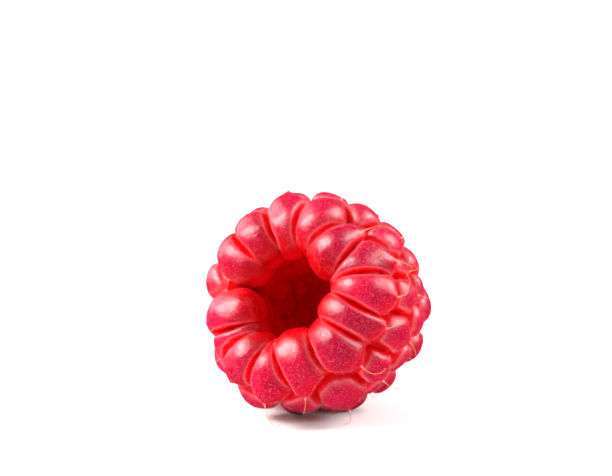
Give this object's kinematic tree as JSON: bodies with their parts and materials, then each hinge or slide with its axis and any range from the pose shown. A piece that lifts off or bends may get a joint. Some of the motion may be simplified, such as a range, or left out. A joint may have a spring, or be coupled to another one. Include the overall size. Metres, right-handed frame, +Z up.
{
  "type": "raspberry",
  "caption": "A ripe red raspberry picked off its core: plump drupelets grown together round a deep open hollow, lying on its side with the mouth tipped up.",
  "frame": {"origin": "middle of the box's base, on the surface that the fruit rests on", "axes": "+Z up from that surface; the mouth of the hollow faces -Y, tipped up 23 degrees; +X is to the right of someone looking into it"},
  "size_m": [0.022, 0.0219, 0.0223],
  "materials": {
    "drupelet_skin": "soft skin with a gentle gloss under a fine pale fuzz, clear red where the drupelets press together",
    "dried_style": "dry straw-coloured thread, dull"
  },
  "bodies": {
    "root": {"raspberry": "drupelet_skin"}
  },
  "joints": []
}
